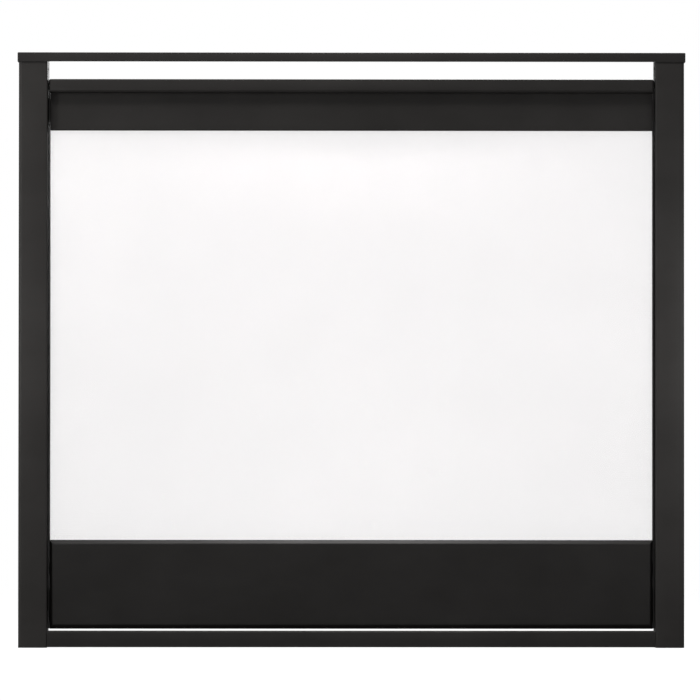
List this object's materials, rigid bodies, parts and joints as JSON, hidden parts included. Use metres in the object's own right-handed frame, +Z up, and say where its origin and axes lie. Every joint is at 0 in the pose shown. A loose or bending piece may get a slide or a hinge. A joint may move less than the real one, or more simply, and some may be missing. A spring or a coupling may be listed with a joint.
{
  "type": "fireplace screen",
  "caption": "Black folded-steel fireplace front with a warm-air gap under its cap and a lift-off screen of fine wire mesh between a hood and a lower panel.",
  "frame": {"origin": "on the floor under the middle of the front's width and depth", "axes": "+X to the viewer's right across the front, +Y back towards the fireplace, +Z up"},
  "size_m": [1.041, 0.048, 0.927],
  "materials": {
    "black_coat": "satin black powder coat on folded steel sheet",
    "wire_cloth": "bright woven stainless wire",
    "plated_steel": "dull zinc plate"
  },
  "bodies": {
    "surround": {"top_cap": "black_coat", "bottom_rail": "black_coat", "left_post": "black_coat", "cap_bracket_left": "plated_steel", "rail_bracket_left": "plated_steel", "cap_bracket_rivet_left": "black_coat", "cap_nut_left_1": "plated_steel", "rail_nut_left_1": "plated_steel", "rail_bracket_rivet_left_1": "plated_steel", "cap_nut_left_2": "plated_steel", "rail_nut_left_2": "plated_steel", "rail_bracket_rivet_left_2": "plated_steel", "hanger_upper_left": "plated_steel", "hanger_lower_left": "plated_steel", "hanger_rivet_left_1": "plated_steel", "hanger_rivet_left_2": "plated_steel", "hanger_rivet_left_3": "plated_steel", "hanger_rivet_left_4": "plated_steel", "right_post": "black_coat", "cap_bracket_right": "plated_steel", "rail_bracket_right": "plated_steel", "cap_bracket_rivet_right": "black_coat", "cap_nut_right_1": "plated_steel", "rail_nut_right_1": "plated_steel", "rail_bracket_rivet_right_1": "plated_steel", "cap_nut_right_2": "plated_steel", "rail_nut_right_2": "plated_steel", "rail_bracket_rivet_right_2": "plated_steel", "hanger_upper_right": "plated_steel", "hanger_lower_right": "plated_steel", "hanger_rivet_right_1": "plated_steel", "hanger_rivet_right_2": "plated_steel", "hanger_rivet_right_3": "plated_steel", "hanger_rivet_right_4": "plated_steel"},
    "screen": {"hood": "black_coat", "lower_panel": "black_coat", "mesh_cloth": "wire_cloth", "mesh_clamp_top": "plated_steel", "clamp_nut_1": "plated_steel", "clamp_nut_2": "plated_steel", "clamp_nut_3": "plated_steel", "mesh_clamp_bottom": "plated_steel", "clamp_rivet_1": "plated_steel", "clamp_rivet_2": "plated_steel", "clamp_rivet_3": "plated_steel", "hood_rivet_left_1": "black_coat", "panel_rivet_left_1": "black_coat", "hood_rivet_left_2": "black_coat", "panel_rivet_left_2": "black_coat", "hanger_stud_upper_left": "plated_steel", "hanger_stud_lower_left": "plated_steel", "side_rail_left": "black_coat", "hood_rivet_right_1": "black_coat", "panel_rivet_right_1": "black_coat", "hood_rivet_right_2": "black_coat", "panel_rivet_right_2": "black_coat", "hanger_stud_upper_right": "plated_steel", "hanger_stud_lower_right": "plated_steel", "side_rail_right": "black_coat"}
  },
  "joints": [
    {"name": "screen_lift_off", "type": "slide", "parent": "surround", "child": "screen", "axis": [0, -0.8192, 0.5736], "range_m": [0, 0.09]}
  ]
}
